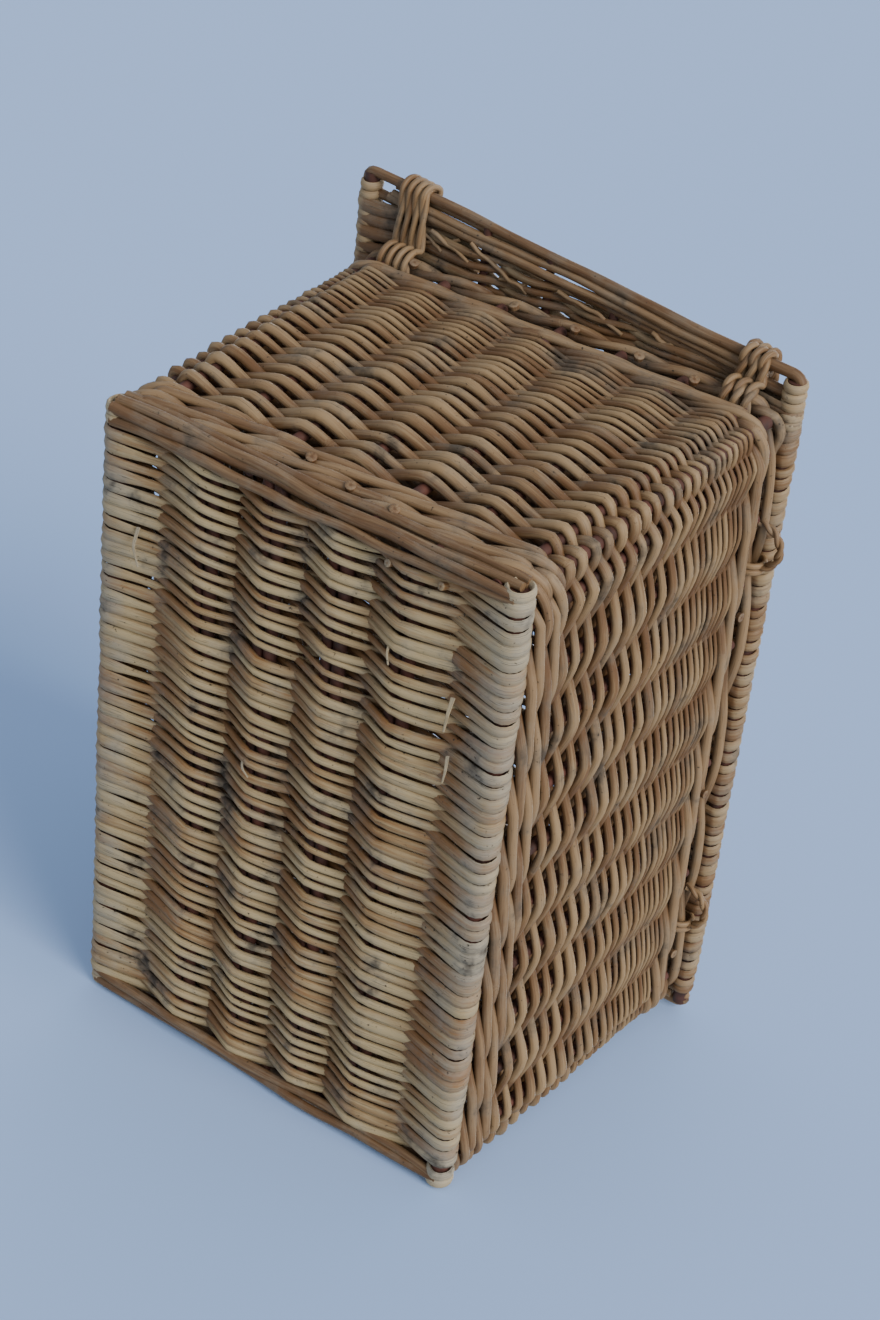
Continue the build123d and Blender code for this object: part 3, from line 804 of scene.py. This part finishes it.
# %% Lid bands
def band_loop(edge, inward, outside, inside, level, thick, seed, half=LID_HALF - 3.5 * MM):
    """One rod that runs along the edge, turns round the outer stick and comes back further in.

    It is a closed loop: two straight runs parallel to the edge, joined by half circles.
    """
    run = np.linspace(-1, 1, 60)
    turn = np.linspace(0, np.pi, 10)[1:-1]
    radius = (inside - outside) / 2
    flat = half - radius
    middle = np.full(len(run), (inside + outside) / 2)
    x = np.concatenate([flat * run, flat + radius * np.sin(turn), -flat * run, -flat - radius * np.sin(turn)])
    depth = np.concatenate([middle - radius, middle[0] - radius * np.cos(turn), middle + radius,
                            middle[0] + radius * np.cos(turn)])
    bow = wander(x, depth * 3, 0.9 * MM, seed)
    y = edge(x) + inward * (depth + bow)
    z = level + wander(x, depth * 4, 0.8 * MM, seed + 1)
    rod = thick * (1 + 0.06 * wander(x, depth * 2, 1.0, seed + 2))
    centre = np.stack([x + lid_drift(y), y, z], -1)[None]
    tone = per_rod(1, 0.2, 0.8, seed + 3)[:, None]
    return tubes(centre, (0, 1, 0), rod[None], rod[None], closed=True, tone=tone, straw_and_shade=0.75, wear=0.15)


def band_rod(start, end, level, thick, seed, sway=1.5 * MM, tone=None):
    """A rod laid along the band between two places in plan, swaying up and down past its neighbours."""
    share = np.linspace(0, 1, 50)
    x = start[0] + (end[0] - start[0]) * share
    y = start[1] + (end[1] - start[1]) * share + wander(share * 0.3, 0.0, 1.0 * MM, seed)
    z = level + sway * np.sin(2 * np.pi * (1.5 * share + seed * 0.13)) * np.sin(np.pi * share)
    rod = thick * (1 - 0.25 * share) * (1 + 0.06 * wander(share * 0.4, 0.1, 1.0, seed + 1))
    value = per_rod(1, 0, 1, seed + 2)[:, None] if tone is None else tone
    centre = np.stack([x + lid_drift(y), y, z], -1)[None]
    return tubes(centre, (0, 1, 0), rod[None], rod[None], tone=value, straw_and_shade=0.75, wear=0.2)


def front_edge(x):
    """The front edge of the lid: square to the long sides."""
    return lid_low.y + 0.0 * np.asarray(x)


end_x = 150 * MM
band_parts = [band_loop(hinge_edge, -1, 3.8 * MM, 17.5 * MM, LID_MID, 3.4 * MM, 451),
              band_rod((-138 * MM, hinge_edge(-0.138) - 10.4 * MM), (138 * MM, hinge_edge(0.138) - 10.6 * MM),
                       LID_MID - 2.2 * MM, 3.3 * MM, 456),
              band_rod((138 * MM, hinge_edge(0.138) - 9.0 * MM), (-138 * MM, hinge_edge(-0.138) - 11.0 * MM),
                       LID_MID + 3.2 * MM, 3.1 * MM, 459),
              band_rod((140 * MM, hinge_edge(0.14) - 14.5 * MM), (-136 * MM, hinge_edge(-0.136) - 14.0 * MM),
                       LID_MID - 3.0 * MM, 2.9 * MM, 462)]
SPLINTS = ((128, -19, 96, -34, -1.5), (118, -36, 84, -20, 0.5), (104, -21, 66, -32, -2.5),
           (92, -38, 70, -22, 1.0), (74, -20, 30, -31, -2.0), (52, -34, 20, -21, 0.0),
           (8, -20, -40, -27, -2.0), (-60, -19, -92, -27, -1.0))
for number, (x0, in0, x1, in1, drop) in enumerate(SPLINTS):
    start = (x0 * MM, hinge_edge(x0 * MM) + in0 * MM)
    end = (x1 * MM, hinge_edge(x1 * MM) + in1 * MM)
    band_parts.append(band_rod(start, end, LID_MID + (drop - 3.0) * MM, 1.5 * MM, 600 + 3 * number,
                               sway=0.8 * MM, tone=0.95))
finished("lid_hinge_band_rods", band_parts, ROD_WILLOW, "lid", ["lid_band_hinge_end"])

front_parts = [band_loop(front_edge, 1, 3.8 * MM, 17.5 * MM, LID_MID, 3.4 * MM, 491)]
FRONT_RODS = ((-end_x, 10.6, 10.6, -2.2, 3.3, 494), (end_x, 11.0, 10.0, 3.2, 3.1, 497),
              (end_x, 23.4, 23.4, 0.0, 3.2, 487))
for from_x, inside, inside_after, raised, thick, seed in FRONT_RODS:
    start = (from_x, front_edge(0) + inside * MM)
    end = (-from_x, front_edge(0) + inside_after * MM)
    front_parts.append(band_rod(start, end, LID_MID + raised * MM, thick * MM, seed))
for side_sign in (1, -1):
    places = front_edge(np.zeros(2)) + np.array([20.5, 26.0]) * MM
    front_parts.append(lid_wraps(side_sign, places, 485 + side_sign))
finished("lid_front_band_rods", front_parts, ROD_WILLOW, "lid", ["lid_band_front_end"])


# %% [markdown]
# ## Hinge bindings and rim eyes
# Each binding is a few turns of twisted willow round the lid's end band and the border rods. Its
# path in the YZ plane is a closed outline with rounded corners: round the rail, up between the
# weave and the band, over the band, and back under it.

# %% Soft closed paths
def soft_path(points, count, width, closed=True):
    """Even steps along a polyline, then each point becomes the mean of its neighbours within a width."""
    points = np.asarray(points, float)
    if closed:
        points = np.concatenate([points, points[:1]])
    length = np.concatenate([[0], np.cumsum(np.linalg.norm(np.diff(points, axis=0), axis=1))])
    even = np.linspace(0, length[-1], count, endpoint=not closed)
    line = np.stack([np.interp(even, length, points[:, axis]) for axis in range(3)], -1)
    reach = max(1, int(round(width / (length[-1] / count))))
    if closed:
        return np.mean([np.roll(line, shift, axis=0) for shift in range(-reach, reach + 1)], axis=0)
    padded = np.concatenate([np.repeat(line[:1], reach, 0), line, np.repeat(line[-1:], reach, 0)])
    kernel = np.ones(2 * reach + 1) / (2 * reach + 1)
    return np.stack([np.convolve(padded[:, axis], kernel, mode="valid") for axis in range(3)], -1)


def plies(line, square, gap, thick, twists, seed, count=2, closed=True, wear=0.2):
    """Two or more skeins twisted round a line: each is a helix whose angle grows evenly along it."""
    if closed:
        along = unit(np.roll(line, -1, axis=0) - np.roll(line, 1, axis=0))
    else:
        along = unit(np.gradient(line, axis=0))
    first = unit(np.broadcast_to(square, line.shape) - along * (along @ np.array(square))[:, None])
    second = np.cross(along, first)
    share = np.arange(len(line)) / len(line)
    strands = []
    for number in range(count):
        angle = 2 * np.pi * (twists * share + number / count)
        strands.append(line + gap * (np.cos(angle)[:, None] * first + np.sin(angle)[:, None] * second))
    tone = per_rod(count, 0.2, 0.9, seed)[:, None]
    return tubes(np.array(strands), square, thick, thick, closed=closed, tone=tone, straw_and_shade=0.9, wear=wear)


# %% Bindings
def binding_outline(x, ring, fan):
    """Corners of the binding's path at one x: the rail at its foot and the band above it."""
    rail = np.linspace(np.radians(35), np.radians(-205), 9)
    foot = [(x, RAIL.y + ring * np.cos(a), RAIL.z + ring * np.sin(a)) for a in rail]
    top, under = LID_MID + 9.0 * MM, LID_MID - 6.0 * MM
    inner, outer = RAIL.y - ring, hinge_edge(x) + 1.6 * MM
    over = [(x, inner + 2 * MM, top), (x + fan, outer - 3 * MM, top), (x + fan, outer, LID_MID),
            (x + fan, outer - 3 * MM, under)]
    return foot + over


def binding(middle_x, spacing, turns, ring, gap, thick, twists, seed):
    """Parallel turns of twisted skein, each fanned a little towards the middle of the binding."""
    parts = []
    for number in range(turns):
        shift = (number - (turns - 1) / 2) * spacing
        path = soft_path(binding_outline(middle_x + shift, ring, -0.16 * shift), 132, 2.4 * MM)
        parts.append(plies(path, (1.0, 0.0, 0.0), gap, thick, twists, seed + number))
    return parts


finished("hinge_binding_left_skeins", binding(125 * MM, 6.2 * MM, 4, 9.8 * MM, 1.2 * MM, 2.0 * MM, 3, 500),
         BINDING_WILLOW, "lid", ["hinge_binding_left"])
finished("hinge_binding_right_skeins", binding(-124 * MM, 7.4 * MM, 3, 10.0 * MM, 1.5 * MM, 2.2 * MM, 5, 520),
         BINDING_WILLOW, "lid", ["hinge_binding_right"])


# %% Rim eyes
def rim_eye(name, node, seed):
    """An arc of twisted willow that stands out of the border, and two turns that tie it down."""
    low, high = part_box(node)
    middle_y, level = (low.y + high.y) / 2, (low.z + high.z) / 2
    angle = np.linspace(-0.5 * np.pi, 0.5 * np.pi, 28)
    root = -RIM_HALF[0] + 5 * MM
    arc = np.stack([root - (root - low.x - 2.5 * MM) * np.cos(angle), middle_y + 15.5 * MM * np.sin(angle),
                    level + 0 * angle], -1)
    parts = [plies(arc, (0.0, 0.0, 1.0), 1.3 * MM, 1.7 * MM, 3, seed, closed=False)]
    around = 2 * np.pi * np.arange(24) / 24
    for number, shift in enumerate((-16.5, -12.3)):
        centre = np.stack([-RIM_HALF[0] + 6.3 * MM + 8.6 * MM * np.cos(around),
                           middle_y + shift * MM + 0 * around, border_level + 8.8 * MM * np.sin(around)], -1)
        parts.append(tubes(centre[None], (0, 1, 0), 2.1 * MM, 1.7 * MM, closed=True, tone=0.5 + 0.2 * number))
    return finished(name, parts, BINDING_WILLOW, "basket", [node])


rim_eye("rim_eye_rear_skein", "rim_eye_rear", 540)
rim_eye("rim_eye_front_skein", "rim_eye_front", 550)

# %% [markdown]
# ## Cut ends and splints
# Each rod that finishes is cut short and leaves a small round end with its pith in the middle. The
# ends show at the border and in the upsett. A few skeins have broken on the base and stand up.
# They are short tubes whose ends bulge a little, so they catch the light as real cuts do.

# %% Cut ends
def cut_end(root, aim, radius, length, seed):
    """A short stub: its radius swells towards the cut and closes in two steps at the pith."""
    share = np.array([0.0, 0.35, 0.7, 0.92, 1.0, 1.0, 0.985])
    swell = np.array([0.9, 0.95, 1.02, 1.06, 0.98, 0.42, 0.12])
    line = np.array(root) + np.outer(share * length, unit(np.array(aim, float)))
    square = (1.0, 0.0, 0.0) if abs(aim[0]) < 0.7 else (0.0, 1.0, 0.0)
    along = np.broadcast_to(unit(np.array(aim, float)), line.shape)
    up = unit(np.array(square) - along[0] * np.dot(along[0], square))
    out = np.cross(along[0], up)
    turn = 2 * np.pi * np.arange(12) / 12
    ring = np.cos(turn)[:, None] * up + np.sin(turn)[:, None] * out
    points = (line[:, None, :] + radius * swell[:, None, None] * ring[None]).reshape(-1, 3)
    steps, sides = len(share), 12
    step, side = np.meshgrid(np.arange(steps - 1), np.arange(sides), indexing="ij")
    beside = (side + 1) % sides
    quads = np.stack([step * sides + side, step * sides + beside, (step + 1) * sides + beside,
                      (step + 1) * sides + side], -1)
    lid = (steps - 1) * sides + np.arange(sides)
    near, far = share[step] * length, share[step + 1] * length
    uv = np.stack([np.stack([side / sides, near], -1), np.stack([(side + 1) / sides, near], -1),
                   np.stack([(side + 1) / sides, far], -1), np.stack([side / sides, far], -1)], -2)
    uv = uv.reshape(-1, 2)
    tone = np.full(len(points), np.random.default_rng(seed).uniform(0.3, 0.9))
    face = np.repeat(np.array([0, 0, 0, 0.3, 0.55, 0.55, 0.0]), sides)
    foot = np.arange(sides)[::-1]
    return {"points": points, "corners": np.concatenate([quads.reshape(-1), lid, foot]),
            "sizes": np.concatenate([np.full(quads.size // 4, 4), [sides, sides]]),
            "uv": np.concatenate([uv, np.stack([np.arange(sides) / sides, np.full(sides, length)], -1),
                                  np.stack([foot / sides, np.zeros(sides)], -1)]),
            "attributes": {"tone": tone, "straw_and_shade": 0.35 + 0.65 * face, "wear": face}}


def on_hinge_end(x, level, outward):
    """Point on the outside of the hinge end wall."""
    depth = FOOT_HALF[1] + (RIM_HALF[1] - FOOT_HALF[1]) * level / RIM_Z
    return np.array([x, depth + outward, level])


end_parts = []
BORDER_CUTS = ((112, 250.5, -0.3), (33, 248, 0.2), (-10, 249, -0.3), (-57, 247, -0.25), (-96, 245.5, -0.3))
UPSETT_CUTS = ((17, 29.5, -0.3), (-17, 21.0, -0.2), (-48, 18.5, -0.35))
for cuts, droop, length, seed in ((BORDER_CUTS, -0.25, 3.4 * MM, 700), (UPSETT_CUTS, -0.35, 4.6 * MM, 710)):
    for number, (x, z, lean_x) in enumerate(cuts):
        root = on_hinge_end(x * MM, z * MM, -2.0 * MM)
        end_parts.append(cut_end(root, (lean_x, 1.0, droop), 3.2 * MM, length, seed + number))
draw = np.random.default_rng(720)
for number, place in enumerate((3, 6, 9, 13, 16, 21, 24, 27)):
    between = np.array(float(place) + 0.45)
    root = wall_line(between, np.array(248 * MM + draw.uniform(-2, 2) * MM), np.array(4.0 * MM))
    away = wall_line(between, np.array(248 * MM), np.array(14.0 * MM))
    end_parts.append(cut_end(root, away - root + np.array([0, 0, -0.002]), 3.0 * MM, 2.6 * MM, 730 + number))
finished("cut_ends", end_parts, BINDING_WILLOW, "basket", [])


# %% Splints on the base
def splint(start, bend, end, width, thick):
    """A broken skein: a flat ribbon along a bent line, from its root, over its bend, to its frayed tip."""
    line = soft_path([start, bend, end], 16, 2.0 * MM, closed=False)
    share = np.linspace(0, 1, len(line))
    return tubes(line[None], (1.0, 0.1, 0.0), (width * (1 - 0.55 * share))[None], thick, tone=0.95,
                 straw_and_shade=1.0, wear=1.0, sides=6)


splint_parts = [
    splint((0.1165, 0.143, 0.004), (0.114, 0.134, -0.0035), (0.110, 0.121, -0.0030), 1.4 * MM, 0.7 * MM),
    splint((-0.1080, 0.133, 0.004), (-0.110, 0.126, -0.0030), (-0.109, 0.114, -0.0035), 1.5 * MM, 0.7 * MM),
    splint((-0.1090, 0.095, 0.004), (-0.113, 0.090, -0.0030), (-0.112, 0.081, -0.0035), 1.2 * MM, 0.6 * MM),
    splint((-0.0640, 0.149, 0.004), (-0.067, 0.145, -0.0030), (-0.069, 0.138, -0.0030), 1.0 * MM, 0.6 * MM),
    splint((0.0300, 0.024, 0.004), (0.026, 0.021, -0.0030), (0.020, 0.016, -0.0030), 1.0 * MM, 0.6 * MM)]
for number, (x, y) in enumerate(((-95, 197), (-60, 196))):
    root = np.array([x, y, 5.0]) * MM
    splint_parts.append(cut_end(root, (0.25, 0.3, -1.0), 2.3 * MM, 4.6 * MM, 740 + number))
finished("base_splints", splint_parts, BASE_WILLOW, "basket", [])

# %% [markdown]
# ## Sticks and stakes
# These are plain round sticks, and the CAD nodes already have their shape. They only get a finish:
# reddish bark, mostly left on, with darker streaks. It reads Object coordinates, because the
# sticks have no UV map.

# %% Bark
def bark(name, dark, red):
    """Two scales of noise in the object's own space, mixed from dark bark to red bark."""
    material = bpy.data.materials.new(name)
    material.use_nodes = True
    nodes, links = material.node_tree.nodes, material.node_tree.links
    shader = nodes["Principled BSDF"]
    where = nodes.new("ShaderNodeTexCoord")
    spots = nodes.new("ShaderNodeTexNoise")
    spots.inputs["Scale"].default_value = 70.0
    spots.inputs["Detail"].default_value = 5.0
    ramp = nodes.new("ShaderNodeValToRGB")
    ramp.color_ramp.elements[0].position, ramp.color_ramp.elements[1].position = 0.35, 0.7
    ramp.color_ramp.elements[0].color, ramp.color_ramp.elements[1].color = (*dark, 1), (*red, 1)
    relief = nodes.new("ShaderNodeBump")
    relief.inputs["Strength"].default_value = 0.4
    relief.inputs["Distance"].default_value = 0.0006
    links.new(where.outputs["Object"], spots.inputs["Vector"])
    links.new(spots.outputs["Fac"], ramp.inputs["Fac"])
    links.new(ramp.outputs["Color"], shader.inputs["Base Color"])
    links.new(spots.outputs["Fac"], relief.inputs["Height"])
    links.new(relief.outputs["Normal"], shader.inputs["Normal"])
    shader.inputs["Roughness"].default_value = 0.62
    return material


BARK = bark("stick_bark", (0.035, 0.015, 0.010), (0.135, 0.046, 0.030))
for node_name, node in frame["nodes"].items():
    if node_name.startswith("stakes_") or node_name.endswith("_sticks") or node_name == "corner_stakes":
        node.data.materials.clear()
        node.data.materials.append(BARK)
print("sticks and stakes finished")

# %% [markdown]
# ## Stage and light
# There are two pale sheets: a floor under the base for the upright views, and the cloth that the
# front end stands on in the main view. Each shows only its own side, so neither hides the hamper.

# %% Stage
def pale_sheet(name, corners, colour):
    """A flat sheet seen from its front only: its back is clear."""
    mesh = bpy.data.meshes.new(name)
    mesh.from_pydata([tuple(corner) for corner in corners], [], [(0, 1, 2, 3)])
    sheet = bpy.data.objects.new(name, mesh)
    bpy.context.scene.collection.objects.link(sheet)
    material = bpy.data.materials.new(name)
    material.use_nodes = True
    nodes, links = material.node_tree.nodes, material.node_tree.links
    shader = nodes["Principled BSDF"]
    shader.inputs["Base Color"].default_value = (*colour, 1)
    shader.inputs["Roughness"].default_value = 0.9
    shader.inputs["Specular IOR Level"].default_value = 0.1
    clear, side, mix = (nodes.new(kind) for kind in
                        ("ShaderNodeBsdfTransparent", "ShaderNodeNewGeometry", "ShaderNodeMixShader"))
    links.new(side.outputs["Backfacing"], mix.inputs["Fac"])
    links.new(shader.outputs["BSDF"], mix.inputs[1])
    links.new(clear.outputs["BSDF"], mix.inputs[2])
    links.new(mix.outputs["Shader"], nodes["Material Output"].inputs["Surface"])
    mesh.materials.append(material)
    sheet.visible_shadow = False
    sheet.visible_diffuse = False
    sheet.visible_glossy = False


WIDE = 8.0
pale_sheet("floor", [(-WIDE, -WIDE, 0), (WIDE, -WIDE, 0), (WIDE, WIDE, 0), (-WIDE, WIDE, 0)],
           (0.72, 0.78, 0.86))
lean = (FOOT_HALF[1] + lid_low.y) / LID_MID
cloth_y = [-FOOT_HALF[1] - 0.5 * MM + lean * z for z in (-WIDE, WIDE)]
pale_sheet("cloth", [(-WIDE, cloth_y[0], -WIDE), (-WIDE, cloth_y[1], WIDE), (WIDE, cloth_y[1], WIDE),
                     (WIDE, cloth_y[0], -WIDE)], (0.41, 0.575, 0.90))


# %% Light
def soft_sun(name, towards, power, spread, colour=(1, 1, 1)):
    """A far, wide light: its rays fall along one direction and its shadows are soft."""
    data = bpy.data.lights.new(name, "SUN")
    data.energy, data.angle, data.color = power, np.radians(spread), colour
    light = bpy.data.objects.new(name, data)
    light.rotation_euler = (-Vector(towards)).to_track_quat("-Z", "Y").to_euler()
    bpy.context.scene.collection.objects.link(light)


soft_sun("window", (-0.82, 0.52, -0.16), 3.1, 38, (1.0, 0.98, 0.95))
soft_sun("sky", (0.25, -0.2, 0.95), 2.4, 70, (0.97, 0.98, 1.0))
world = bpy.data.worlds.new("room")
world.use_nodes = True
world.node_tree.nodes["Background"].inputs["Color"].default_value = (0.72, 0.84, 1.0, 1)
world.node_tree.nodes["Background"].inputs["Strength"].default_value = 0.62
bpy.context.scene.world = world
